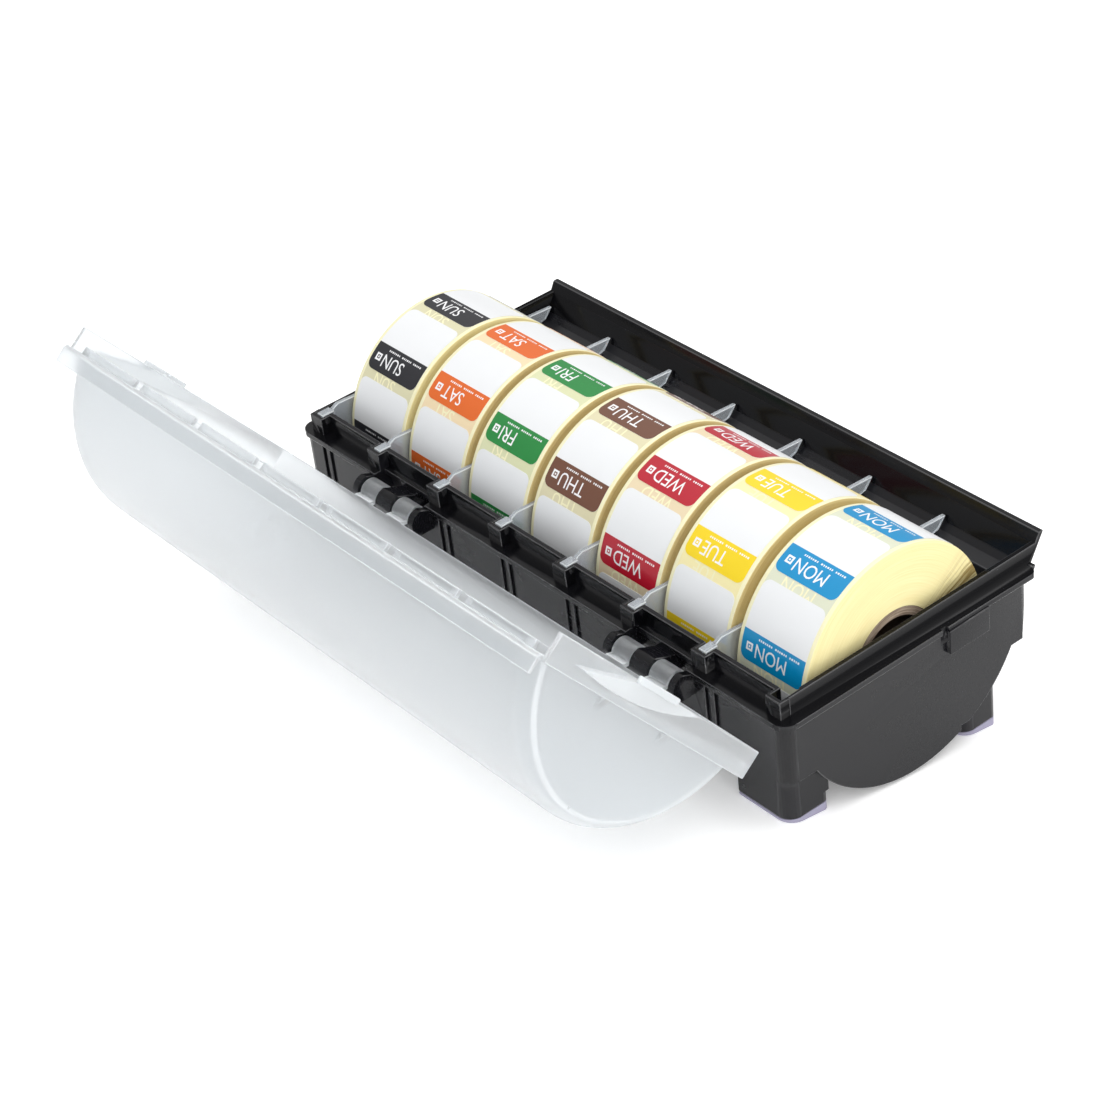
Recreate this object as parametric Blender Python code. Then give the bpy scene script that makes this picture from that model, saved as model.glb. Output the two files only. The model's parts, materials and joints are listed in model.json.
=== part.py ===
"""Day label dispenser: a tilted counter tray for seven label rolls, with a hinged dust lid.

The tray is a half-round trough on four legs.  A rail stands round its top edge, a ledge runs
round the outside below the rail, and a skirt hangs from the ledge.  The front wall flares into
a tear lip.  Clear dividers hang in pockets of the rear rail and keep the rolls apart.  The lid
snaps with four hooks onto two hinge bars behind the rear rail.

Tray frame: x along the dispenser, v from the rear rail to the tear lip, w up from the rail's
top edge.  The whole tray leans back by TILT, so that the labels face the person in front (-Y).
"""
import math

import bmesh
import bpy
from mathutils import Vector

MM = 0.001

# --- driving dimensions -------------------------------------------------------------------
PITCH = 31.5 * MM              # one roll and one divider
DAYS = ("sun", "sat", "fri", "thu", "wed", "tue", "mon")
TILT = math.radians(7.9)       # the front of the tray stands higher than the rear
REAR_HEIGHT = 45.7 * MM        # rear rail's top edge above the table
FIT = 0.3 * MM                 # gap between pieces that touch

WALL = 1.8 * MM
RAIL_HALF = 3.6 * PITCH        # outer end face of the rail
RAIL_REAR = 3.6 * MM           # outer face of the rear rail
LEDGE_TOP = -6.0 * MM
LEDGE_THICK = 2.0 * MM
LEDGE_HALF = RAIL_HALF + 4.2 * MM
LEDGE_REAR = -2.6 * MM
LEDGE_FRONT = 100.2 * MM
SKIRT_HALF = RAIL_HALF + 3.2 * MM
SKIRT_REAR = -1.8 * MM
SKIRT_FRONT = 97.2 * MM
SKIRT_FRONT_LOW = 94.4 * MM
SKIRT_LOW_REAR = -28.0 * MM
SKIRT_LOW_FRONT = -28.4 * MM

TROUGH = (49.6 * MM, -5.0 * MM)    # centre line of the trough (v, w)
TROUGH_IN = 44.2 * MM
TROUGH_OUT = 46.2 * MM
ARC_STEPS = 40

LIP_BASE = (98.6 * MM, -8.2 * MM)
LIP_TIP = (107.5 * MM, 3.0 * MM)
LIP_THICK = 1.9 * MM
SHELF_START = -9.0 * MM            # the trough wall turns into the shelf here

POCKET_HALF = 3.1 * MM
SLOT_HALF = 2.1 * MM
SLOT_REAR = 1.5 * MM
SLOT_FLOOR = -5.0 * MM

BLADE = 1.6 * MM
HEAD_HALF = 1.7 * MM
BLADE_TOP_REAR = 1.2 * MM
BLADE_TOP_FRONT = -4.0 * MM

ROLL_R = 36.4 * MM
ROLL_WIDTH = 28.4 * MM
CORE_R = 15.6 * MM
CORE_BORE = 12.7 * MM
LAST_ROLL_SHIFT = -0.7 * MM        # the last bay is wider, because its end pocket is empty

HINGE = (-5.4 * MM, -9.8 * MM)     # hinge axis (v, w)
HINGE_X = 62.4 * MM
HOOK_OFFSET = 8.35 * MM
HOOK_HALF = 3.9 * MM
BAR_R = 1.8 * MM
EAR_R = 4.4 * MM
EAR_THICK = 2.6 * MM
RECESS_HALF = HOOK_OFFSET + HOOK_HALF + 1.0 * MM

LEG_LENGTH = 22.0 * MM
LEG_REAR = (0.6 * MM, 16.6 * MM)
LEG_FRONT = (71.6 * MM, 86.4 * MM)
LEG_INSET = 3.6 * MM
LEG_TOP = LEDGE_TOP - LEDGE_THICK - 0.5 * MM
PAD_THIN = 1.0 * MM                # the soles are wedges, thinnest at the rear

CATCH_V = 71.0 * MM
CATCH_HALF = 8.2 * MM
CATCH_DEEP = 8.0 * MM

LID_OPEN = math.radians(128.8)
LID_WALL = 1.6 * MM
LID_HALF = RAIL_HALF + 2.2 * MM
LID_REAR = -2.1 * MM
LID_FRONT = 96.2 * MM
LID_EDGE = LEDGE_TOP + FIT
RIM_HEIGHT = 8.9 * MM
BARREL = (48.2 * MM, -12.7 * MM)   # centre line of the lid's barrel (v, w)
BARREL_R = 50.4 * MM
BARREL_HALF = 113.4 * MM
BARREL_CORNER = 6.0 * MM
END_DRAFT = 0.8 * MM
GRIP_HALF = 115.0 * MM
FRONT_EDGE = -0.9 * MM             # free edge of the front rim wall
FRONT_HALF = 109.2 * MM            # that wall stops short of the end walls
NOTCH_TOP = 2.0 * MM
TAB_V = 60.0 * MM
TAB_REACH = 26.0 * MM
TAB_DEEP = 3.4 * MM                # half the height of the finger pad at its middle
TAB_OUT = 3.4 * MM
PLATE_SPAN = (46.0 * MM, 64.7 * MM)


# --- materials ------------------------------------------------------------------------------
def material(name, colour, roughness, alpha=1.0, transmission=0.0):
    mat = bpy.data.materials.new(name)
    mat.use_nodes = True
    shader = mat.node_tree.nodes["Principled BSDF"]
    shader.inputs["Base Color"].default_value = (*colour, 1.0)
    shader.inputs["Roughness"].default_value = roughness
    shader.inputs["Metallic"].default_value = 0.0
    shader.inputs["Alpha"].default_value = alpha
    shader.inputs["Transmission Weight"].default_value = transmission
    mat.diffuse_color = (*colour, alpha)
    return mat


# --- shape helpers --------------------------------------------------------------------------
def tray_point(x, v, w):
    """A point of the tray frame in the tray empty's own axes (its -Y is the front)."""
    return Vector((x, -v, w))


def arc(centre, radius, start, end, steps):
    """Points (v, w) on a circle, both ends included; angles in degrees."""
    points = []
    for i in range(steps + 1):
        a = math.radians(start + (end - start) * i / steps)
        points.append((centre[0] + radius * math.cos(a), centre[1] + radius * math.sin(a)))
    return points


def mesh_object(name, bm, parent, mat=None):
    bmesh.ops.recalc_face_normals(bm, faces=bm.faces)
    mesh = bpy.data.meshes.new(name)
    bm.to_mesh(mesh)
    bm.free()
    mesh.shade_smooth()
    mesh.set_sharp_from_angle(angle=math.radians(30))
    obj = bpy.data.objects.new(name, mesh)
    bpy.context.scene.collection.objects.link(obj)
    obj.parent = parent
    if mat is not None:
        mesh.materials.append(mat)
    return obj


def add_prism(bm, profile, x0, x1):
    """Extrude a closed (v, w) outline along x."""
    low = [bm.verts.new(tray_point(x0, v, w)) for v, w in profile]
    high = [bm.verts.new(tray_point(x1, v, w)) for v, w in profile]
    bm.faces.new(low)
    bm.faces.new(high[::-1])
    count = len(profile)
    for i in range(count):
        j = (i + 1) % count
        bm.faces.new((low[j], low[i], high[i], high[j]))


def add_box(bm, x0, x1, v0, v1, w0, w1):
    add_prism(bm, [(v0, w0), (v1, w0), (v1, w1), (v0, w1)], x0, x1)


def add_disc(bm, centre, radius, x0, x1, steps=24):
    add_prism(bm, arc(centre, radius, 0, 360, steps)[:-1], x0, x1)


def solid(name, parent, build):
    """An object from one build function that fills a bmesh."""
    bm = bmesh.new()
    build(bm)
    return mesh_object(name, bm, parent)


def combine(target, tool, operation):
    """Keep the tool as a hidden guide and let the target's Boolean modifier use it."""
    tool.hide_render = True
    tool.display_type = "WIRE"
    mod = target.modifiers.new(tool.name, "BOOLEAN")
    mod.operation = operation
    mod.solver = "EXACT"
    mod.use_self = operation == "UNION"
    mod.object = tool


def both_ends(values):
    """The same x range at the +X end and mirrored at the -X end."""
    a, b = values
    return ((a, b), (-b, -a))


def pocket_positions():
    return [(3.5 - i) * PITCH for i in range(8)]


def roll_positions():
    places = [(3.0 - i) * PITCH for i in range(7)]
    places[-1] += LAST_ROLL_SHIFT
    return places


def table_w(v, height):
    """The w at which the upright line through v stands at a given height above the table."""
    return (height - REAR_HEIGHT - math.sin(TILT) * v) / math.cos(TILT)


# --- tray -----------------------------------------------------------------------------------
def tray_profile():
    """Thin-walled section through the trough, the rails, the ledge and the long skirts."""
    floor = LEDGE_TOP - LEDGE_THICK
    cv, cw = TROUGH
    shelf_angle = math.degrees(math.asin((SHELF_START - cw) / TROUGH_IN))
    under_front = math.degrees(math.asin((SHELF_START - 2.2 * MM - cw) / TROUGH_OUT))
    under_rear = 180 - math.degrees(math.asin((floor - cw) / TROUGH_OUT))
    rail_inner = cv - TROUGH_IN
    bv, bw = LIP_BASE
    tv, tw = LIP_TIP
    points = [
        (SKIRT_REAR, SKIRT_LOW_REAR),
        (SKIRT_REAR, floor),
        (LEDGE_REAR, floor),
        (LEDGE_REAR, LEDGE_TOP),
        (RAIL_REAR, LEDGE_TOP),
        (RAIL_REAR, 0.0),
        (rail_inner, 0.0),
    ]
    points += arc(TROUGH, TROUGH_IN, 180, 360 + shelf_angle, ARC_STEPS)
    points += [
        (bv, bw),
        (bv + 2.0 * MM, bw + 1.9 * MM),
        (tv - LIP_THICK, tw),
        (tv, tw),
        (bv + 2.6 * MM, bw + 0.5 * MM),
        (LEDGE_FRONT, floor - 1.0 * MM),
        (LEDGE_FRONT, floor - 3.0 * MM),
        (SKIRT_FRONT, floor - 3.4 * MM),
        (SKIRT_FRONT_LOW, SKIRT_LOW_FRONT),
        (SKIRT_FRONT_LOW - WALL, SKIRT_LOW_FRONT),
        (SKIRT_FRONT - WALL, floor - 3.2 * MM),
    ]
    points += arc(TROUGH, TROUGH_OUT, 360 + under_front, under_rear, ARC_STEPS)
    points += [
        (SKIRT_REAR + WALL, floor),
        (SKIRT_REAR + WALL, SKIRT_LOW_REAR),
    ]
    return points


def end_rail_profile():
    bv, bw = LIP_BASE
    tv, tw = LIP_TIP
    slope = (tv - LIP_THICK - bv) / (tw - bw)
    top = bv - bw * slope
    return [
        (RAIL_REAR, 0.0),
        (RAIL_REAR, LEDGE_TOP - LEDGE_THICK),
        (bv + 1.5 * MM, LEDGE_TOP - LEDGE_THICK),
        (bv + 2.2 * MM, bw + 1.0 * MM),
        (top + 0.8 * MM, 0.0),
    ]


def end_skirt_profile():
    """The end skirt with the trough's round end, drawn as one flush plate."""
    cv, cw = TROUGH
    start = 180 + math.degrees(math.asin((cw - SKIRT_LOW_REAR) / TROUGH_OUT))
    end = 360 - math.degrees(math.asin((cw - SKIRT_LOW_FRONT) / TROUGH_OUT))
    top = LEDGE_TOP - 0.5 * LEDGE_THICK
    points = [(SKIRT_FRONT, top), (SKIRT_REAR, top), (SKIRT_REAR, SKIRT_LOW_REAR)]
    points += arc(TROUGH, TROUGH_OUT + 0.3 * MM, start, end, ARC_STEPS)
    points += [(SKIRT_FRONT_LOW, SKIRT_LOW_FRONT)]
    return points


def foot_w(span):
    """The w at which a leg is cut square, a sole's thin edge above the table."""
    return table_w(span[0], PAD_THIN + FIT)


def leg_profile(span):
    """A leg grows out of the trough's wall; a rear leg's outer face runs on up to the ledge."""
    cv, cw = TROUGH
    radius = 0.5 * (TROUGH_IN + TROUGH_OUT)
    v0, v1 = span
    foot = foot_w(span)
    front = -math.degrees(math.acos((v1 - cv) / radius))
    if cv - v0 < radius:
        rear = -math.degrees(math.acos((v0 - cv) / radius))
        return arc(TROUGH, radius, front, rear, 12) + [(v0, foot), (v1, foot)]
    top = 180 - math.degrees(math.asin((LEG_TOP - cw) / radius))
    return [(v0, LEG_TOP)] + arc(TROUGH, radius, top, front + 360, 12) + [(v1, foot), (v0, foot)]


def build_end_walls(bm):
    for x0, x1 in both_ends((RAIL_HALF - WALL, RAIL_HALF)):
        add_prism(bm, end_rail_profile(), x0, x1)


def build_end_ledges(bm):
    for x0, x1 in both_ends((RAIL_HALF - WALL - 0.4 * MM, LEDGE_HALF)):
        add_box(bm, x0, x1, LEDGE_REAR, LEDGE_FRONT, LEDGE_TOP - LEDGE_THICK, LEDGE_TOP)


def build_end_skirts(bm):
    for x0, x1 in both_ends((SKIRT_HALF - WALL, SKIRT_HALF)):
        add_prism(bm, end_skirt_profile(), x0, x1)


def build_legs(bm):
    outer = SKIRT_HALF - LEG_INSET
    for span in (LEG_REAR, LEG_FRONT):
        for x0, x1 in both_ends((outer - LEG_LENGTH, outer)):
            add_prism(bm, leg_profile(span), x0, x1)


def build_leg_hollows(bm):
    outer = SKIRT_HALF - LEG_INSET - WALL
    for v0, v1 in (LEG_REAR, LEG_FRONT):
        inner = (v0 + WALL, v1 - WALL)
        for x0, x1 in both_ends((outer - LEG_LENGTH + 2 * WALL, outer)):
            low = table_w(inner[0], 0.0)
            add_box(bm, x0, x1, inner[0], inner[1], low - 5.0 * MM, low + 8.0 * MM)


def build_pockets(bm):
    for x in pocket_positions():
        x0 = max(x - POCKET_HALF, -RAIL_HALF)
        x1 = min(x + POCKET_HALF, RAIL_HALF)
        add_box(bm, x0, x1, 0.0, RAIL_REAR + 0.9 * MM, LEDGE_TOP - 0.8 * MM, 0.0)


def build_pocket_slots(bm):
    for x in pocket_positions():
        add_box(bm, x - SLOT_HALF, x + SLOT_HALF, SLOT_REAR, 9.0 * MM, SLOT_FLOOR, 2.0 * MM)


def build_corner_clearance(bm):
    """Above the ledge the rail and the lip end flush with the rail's end face."""
    for x0, x1 in both_ends((RAIL_HALF, RAIL_HALF + 20 * MM)):
        add_box(bm, x0, x1, -12 * MM, 125 * MM, LEDGE_TOP, 12 * MM)


def build_hinge_recesses(bm):
    floor = HINGE[1] - 6.4 * MM
    for x in (-HINGE_X, HINGE_X):
        add_box(bm, x - RECESS_HALF, x + RECESS_HALF, -4 * MM, 1.6 * MM, floor, LEDGE_TOP + 1.0 * MM)


def ear_profile():
    """A round nose at the hinge axis, with a web back to the trough wall."""
    v, w = HINGE
    points = arc(HINGE, EAR_R, 90, 270, 16)
    points += [(5.2 * MM, w - EAR_R), (4.4 * MM, w + EAR_R - 2.8 * MM), (0.4 * MM, w + EAR_R - 2.4 * MM)]
    return points


def build_hinge_ears(bm):
    knuckle = HOOK_OFFSET - HOOK_HALF - 0.6 * MM
    for x in (-HINGE_X, HINGE_X):
        add_prism(bm, ear_profile(), x - knuckle, x + knuckle)
        for side in (-1, 1):
            edge = x + side * (RECESS_HALF + 0.5 * EAR_THICK)
            add_prism(bm, ear_profile(), edge - 0.5 * EAR_THICK, edge + 0.5 * EAR_THICK)


def build_hinge_bars(bm):
    reach = RECESS_HALF + 0.5 * EAR_THICK
    for x in (-HINGE_X, HINGE_X):
        add_disc(bm, HINGE, BAR_R, x - reach, x + reach, 20)


def build_catches(bm):
    """A snap catch stands out of each end skirt, just below the ledge."""
    top = LEDGE_TOP - LEDGE_THICK
    for x0, x1 in both_ends((SKIRT_HALF - 0.6 * MM, SKIRT_HALF + 1.6 * MM)):
        add_box(bm, x0, x1, CATCH_V - CATCH_HALF, CATCH_V + CATCH_HALF, top - CATCH_DEEP, top + 0.6 * MM)


def build_skirt_grooves(bm):
    """Pairs of upright grooves in the rear skirt, one pair beside each pocket."""
    for x in pocket_positions()[:-1]:
        for offset in (-5.0 * MM, -9.0 * MM):
            add_box(bm, x + offset - 1.1 * MM, x + offset + 1.1 * MM, -3.0 * MM,
                    SKIRT_REAR + 0.9 * MM, SKIRT_LOW_REAR + 3.0 * MM, LEDGE_TOP - LEDGE_THICK - 0.6 * MM)


def make_tray(parent, mat):
    bm = bmesh.new()
    reach = SKIRT_HALF - 0.6 * MM
    add_prism(bm, tray_profile(), -reach, reach)
    tray = mesh_object("tray", bm, parent, mat)
    combine(tray, solid("guide_corner_clearance", parent, build_corner_clearance), "DIFFERENCE")
    for name, build in (("guide_end_walls", build_end_walls), ("guide_end_skirts", build_end_skirts),
                        ("guide_end_ledges", build_end_ledges), ("guide_legs", build_legs),
                        ("guide_pockets", build_pockets), ("guide_catches", build_catches)):
        combine(tray, solid(name, parent, build), "UNION")
    for name, build in (("cut_pocket_slots", build_pocket_slots), ("cut_hinge_recesses", build_hinge_recesses),
                        ("cut_skirt_grooves", build_skirt_grooves), ("cut_leg_hollows", build_leg_hollows)):
        combine(tray, solid(name, parent, build), "DIFFERENCE")
    for name, build in (("guide_hinge_ears", build_hinge_ears), ("guide_hinge_bars", build_hinge_bars)):
        combine(tray, solid(name, parent, build), "UNION")
    return tray


# --- feet -----------------------------------------------------------------------------------
def pad_profile(span):
    """A rubber wedge between the square foot of a leg and the table."""
    v0, v1 = span
    top = foot_w(span) - FIT
    return [(v0, top), (v1, top), (v1, table_w(v1, 0.0)), (v0, table_w(v0, 0.0))]


def make_pads(parent, mat):
    outer = SKIRT_HALF - LEG_INSET
    names = (("rear", LEG_REAR), ("front", LEG_FRONT))
    for row, span in names:
        for side, (x0, x1) in zip(("left", "right"), both_ends((outer - LEG_LENGTH, outer))):
            bm = bmesh.new()
            add_prism(bm, pad_profile(span), x0, x1)
            mesh_object(f"foot_pad_{row}_{side}", bm, parent, mat)


# --- dividers -------------------------------------------------------------------------------
def blade_profile():
    """A half disc with a straight top, a short head at the rear and a pointed fin at the front."""
    gap = 0.5 * MM
    cv, cw = TROUGH
    radius = TROUGH_IN - gap
    rear = 180 + math.degrees(math.asin((cw - SLOT_FLOOR + 1.6 * MM) / radius))
    front = 360 + math.degrees(math.asin((SHELF_START + 0.4 * MM - cw) / radius))
    bv, bw = LIP_BASE
    tv, tw = LIP_TIP
    slope = (tv - LIP_THICK - bv - 2.0 * MM) / (tw - bw - 1.9 * MM)
    tip_w = BLADE_TOP_FRONT
    tip_v = bv + 2.0 * MM + (tip_w - bw - 1.9 * MM) * slope - 1.0 * MM
    points = [(5.9 * MM, BLADE_TOP_REAR - 1.6 * MM), (5.9 * MM, cw)]
    points += arc(TROUGH, radius, rear, front, 30)
    points += [
        (bv - 1.0 * MM, bw + 0.6 * MM),
        (tip_v, tip_w),
        (9.0 * MM, BLADE_TOP_REAR),
    ]
    return points


def make_divider(index, x, parent, mat):
    gap = 0.35 * MM
    bm = bmesh.new()
    add_prism(bm, blade_profile(), -0.5 * BLADE, 0.5 * BLADE)
    divider = mesh_object(f"divider_{index}", bm, parent, mat)
    divider.location.x = x

    def build_head(head):
        add_box(head, -HEAD_HALF, HEAD_HALF, SLOT_REAR + gap, 6.6 * MM, SLOT_FLOOR + gap, 0.0)

    head = solid(f"guide_head_{index}", parent, build_head)
    head.location.x = x
    combine(divider, head, "UNION")
    return divider


# --- rolls ----------------------------------------------------------------------------------
def roll_axis():
    """A roll lies in the trough, straight below its centre line by the clearance."""
    drop = TROUGH_IN - ROLL_R - FIT
    return (TROUGH[0] - drop * math.sin(TILT), TROUGH[1] - drop * math.cos(TILT))


def ring_mesh(name, outer, inner, width, steps):
    """A tube along x round its own origin, as a closed mesh."""
    bm = bmesh.new()
    loops = []
    for radius, x in ((outer, -0.5), (outer, 0.5), (inner, 0.5), (inner, -0.5)):
        ring = []
        for i in range(steps):
            a = 2 * math.pi * i / steps
            ring.append(bm.verts.new((x * width, radius * math.cos(a), radius * math.sin(a))))
        loops.append(ring)
    for a, b in zip(loops, loops[1:] + loops[:1]):
        for i in range(steps):
            j = (i + 1) % steps
            bm.faces.new((a[i], a[j], b[j], b[i]))
    bmesh.ops.recalc_face_normals(bm, faces=bm.faces)
    mesh = bpy.data.meshes.new(name)
    bm.to_mesh(mesh)
    bm.free()
    mesh.shade_smooth()
    mesh.set_sharp_from_angle(angle=math.radians(30))
    return mesh


def make_rolls(parent, web_materials, core_material):
    v, w = roll_axis()
    core_mesh = ring_mesh("roll_core", CORE_R, CORE_BORE, ROLL_WIDTH - 0.4 * MM, 36)
    core_mesh.materials.append(core_material)
    for day, x in zip(DAYS, roll_positions()):
        web_mesh = ring_mesh(f"label_web_{day}", ROLL_R, CORE_R + FIT, ROLL_WIDTH, 60)
        web_mesh.materials.append(web_materials[day])
        for name, mesh in ((f"label_web_{day}", web_mesh), (f"roll_core_{day}", core_mesh)):
            obj = bpy.data.objects.new(name, mesh)
            bpy.context.scene.collection.objects.link(obj)
            obj.parent = parent
            obj.location = tray_point(x, v, w)


# --- lid ------------------------------------------------------------------------------------
def hinge_offset(points):
    """Outline points measured from the hinge axis, because the lid's origin lies on it."""
    return [(v - HINGE[0], w - HINGE[1]) for v, w in points]


def lid_box(bm, x0, x1, v0, v1, w0, w1):
    add_prism(bm, hinge_offset([(v0, w0), (v1, w0), (v1, w1), (v0, w1)]), x0, x1)


def add_lathe(bm, generatrix, centre, steps):
    """Turn (x, radius) points round a line along x; the ends close on the axis."""
    cv, cw = hinge_offset([centre])[0]
    rings = []
    for x, radius in generatrix:
        if radius == 0.0:
            rings.append([bm.verts.new(tray_point(x, cv, cw))])
            continue
        ring = []
        for i in range(steps):
            a = 2 * math.pi * i / steps
            ring.append(bm.verts.new(tray_point(x, cv + radius * math.cos(a), cw + radius * math.sin(a))))
        rings.append(ring)
    for a, b in zip(rings, rings[1:]):
        for i in range(steps):
            j = (i + 1) % steps
            corners = [a[i % len(a)], a[j % len(a)], b[j % len(b)], b[i % len(b)]]
            bm.faces.new(list(dict.fromkeys(corners)))


def barrel_generatrix(inset):
    """Half-barrel with drafted end walls and rounded end corners, from -X to +X."""
    radius = BARREL_R - inset
    half = BARREL_HALF - inset
    corner = BARREL_CORNER - inset
    low = half - END_DRAFT
    side = [(half, 0.0)]
    for i in range(7):
        a = math.radians(90 * i / 6)
        side.append((low - corner + corner * math.cos(a), radius - corner + corner * math.sin(a)))
    mirrored = [(-x, r) for x, r in side]
    return mirrored + side[::-1]


def rim_top():
    return LID_EDGE + RIM_HEIGHT


def build_barrel_keep(bm):
    """The part of the barrel that stands above the rim."""
    lid_box(bm, -130 * MM, 130 * MM, -20 * MM, 120 * MM, rim_top() - LID_WALL, 60 * MM)


def build_rim(bm):
    lid_box(bm, -LID_HALF, LID_HALF, LID_REAR, LID_FRONT, LID_EDGE, rim_top())


def build_rim_hollow(bm):
    lid_box(bm, -LID_HALF + LID_WALL, LID_HALF - LID_WALL, LID_REAR + LID_WALL, LID_FRONT - LID_WALL,
            LID_EDGE - 5 * MM, rim_top() - LID_WALL)


def grip_profile():
    """A flange along the free edge: it steps out of the rim and turns up as a grip."""
    top = rim_top()
    return hinge_offset([
        (LID_FRONT - 0.5 * MM, top - LID_WALL),
        (LID_FRONT + 2.0 * MM, top - LID_WALL),
        (LID_FRONT + 2.9 * MM, top - 0.4 * MM),
        (LID_FRONT + 2.7 * MM, top + 4.4 * MM),
        (LID_FRONT + 1.5 * MM, top + 4.4 * MM),
        (LID_FRONT + 1.5 * MM, top),
        (LID_FRONT - 0.5 * MM, top),
    ])


def build_grip(bm):
    add_prism(bm, grip_profile(), -GRIP_HALF, GRIP_HALF)


def hook_profile():
    """A C round the hinge bar; its back joins the lid's rear rim wall."""
    inner = BAR_R + FIT
    outer = inner + 1.9 * MM
    ring_out = arc(HINGE, outer, 40, -150, 20)
    ring_in = arc(HINGE, inner, -150, 62, 20)
    back = [
        (LID_REAR + 0.2 * MM, LID_EDGE + 1.2 * MM),
        (LID_REAR + LID_WALL, LID_EDGE + 1.2 * MM),
        (LID_REAR + LID_WALL, LID_EDGE - 0.4 * MM),
    ]
    return hinge_offset(ring_out + ring_in + back)


def build_hooks(bm):
    for x in (-HINGE_X, HINGE_X):
        for side in (-1, 1):
            middle = x + side * HOOK_OFFSET
            add_prism(bm, hook_profile(), middle - HOOK_HALF, middle + HOOK_HALF)


def front_cut(bm, x0, x1, top):
    lid_box(bm, x0, x1, LID_FRONT - 3 * MM, LID_FRONT + 1.2 * MM, LID_EDGE - 2 * MM, top)


def build_front_edge(bm):
    """The front rim wall is lower than the others."""
    front_cut(bm, -FRONT_HALF - 0.5 * MM, FRONT_HALF + 0.5 * MM, FRONT_EDGE)


def build_notches(bm):
    """The front rim wall clears the dividers' fins and the tray's end walls."""
    for x in pocket_positions()[1:-1]:
        front_cut(bm, x - 1.9 * MM, x + 1.9 * MM, NOTCH_TOP)
    for x0, x1 in both_ends((FRONT_HALF, LID_HALF - LID_WALL)):
        front_cut(bm, x0, x1, NOTCH_TOP + 0.2 * MM)


def tab_profile():
    """A lens along the end of the rim: flush with its edge at the rear, lifted clear at the front."""
    steps = 16
    upper, lower = [], []
    for i in range(steps + 1):
        t = -1 + 2 * i / steps
        middle = LID_EDGE + 2.6 * MM + 2.2 * MM * t
        deep = TAB_DEEP * (1 - t * t)
        edge = LID_EDGE + 5.2 * MM * max(0.0, t)
        upper.append((TAB_V + TAB_REACH * t, max(edge, middle - deep)))
        lower.append((TAB_V + TAB_REACH * t, middle + deep))
    return hinge_offset(upper + lower[-2:0:-1])


def build_tabs(bm):
    """A finger pad stands out of each end of the rim."""
    for x0, x1 in both_ends((LID_HALF - 0.5 * MM, LID_HALF + TAB_OUT)):
        add_prism(bm, tab_profile(), x0, x1)


def build_snap_plates(bm):
    """A low ridge along the tab's outer edge, which snaps under the tray's ledge."""
    inner = SKIRT_HALF + 2.0 * MM
    for x0, x1 in both_ends((inner, inner + 1.5 * MM)):
        lid_box(bm, x0, x1, PLATE_SPAN[0], PLATE_SPAN[1], LID_EDGE - 1.3 * MM, LID_EDGE + 0.8 * MM)


def make_lid(parent, mat):
    bm = bmesh.new()
    add_lathe(bm, barrel_generatrix(0.0), BARREL, 72)
    lid = mesh_object("lid", bm, parent, mat)
    combine(lid, solid("guide_barrel_keep", parent, build_barrel_keep), "INTERSECT")
    combine(lid, solid("guide_rim", parent, build_rim), "UNION")
    bm = bmesh.new()
    add_lathe(bm, barrel_generatrix(LID_WALL), BARREL, 72)
    hollow = mesh_object("cut_barrel", bm, parent)
    keep = solid("guide_hollow_keep", parent, build_barrel_keep)
    combine(hollow, keep, "INTERSECT")
    combine(lid, hollow, "DIFFERENCE")
    combine(lid, solid("cut_rim", parent, build_rim_hollow), "DIFFERENCE")
    for name, build in (("guide_grip", build_grip), ("guide_hooks", build_hooks),
                        ("guide_tabs", build_tabs), ("guide_snap_plates", build_snap_plates)):
        combine(lid, solid(name, parent, build), "UNION")
    for name, build in (("cut_front_edge", build_front_edge), ("cut_notches", build_notches)):
        combine(lid, solid(name, parent, build), "DIFFERENCE")
    return lid


# --- assembly -------------------------------------------------------------------------------
def empty(name, parent=None):
    obj = bpy.data.objects.new(name, None)
    bpy.context.scene.collection.objects.link(obj)
    obj.parent = parent
    return obj


def centre_on_footprint(stand):
    """Move the stand so that the origin is the bottom centre of the whole dispenser."""
    bpy.context.view_layer.update()
    depsgraph = bpy.context.evaluated_depsgraph_get()
    low = [1e9, 1e9, 1e9]
    high = [-1e9, -1e9, -1e9]
    for obj in bpy.context.scene.objects:
        if obj.type != "MESH" or obj.hide_render:
            continue
        shape = obj.evaluated_get(depsgraph)
        for vertex in shape.data.vertices:
            place = shape.matrix_world @ vertex.co
            for k in range(3):
                low[k] = min(low[k], place[k])
                high[k] = max(high[k], place[k])
    stand.location.x -= 0.5 * (low[0] + high[0])
    stand.location.y -= 0.5 * (low[1] + high[1])


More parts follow.
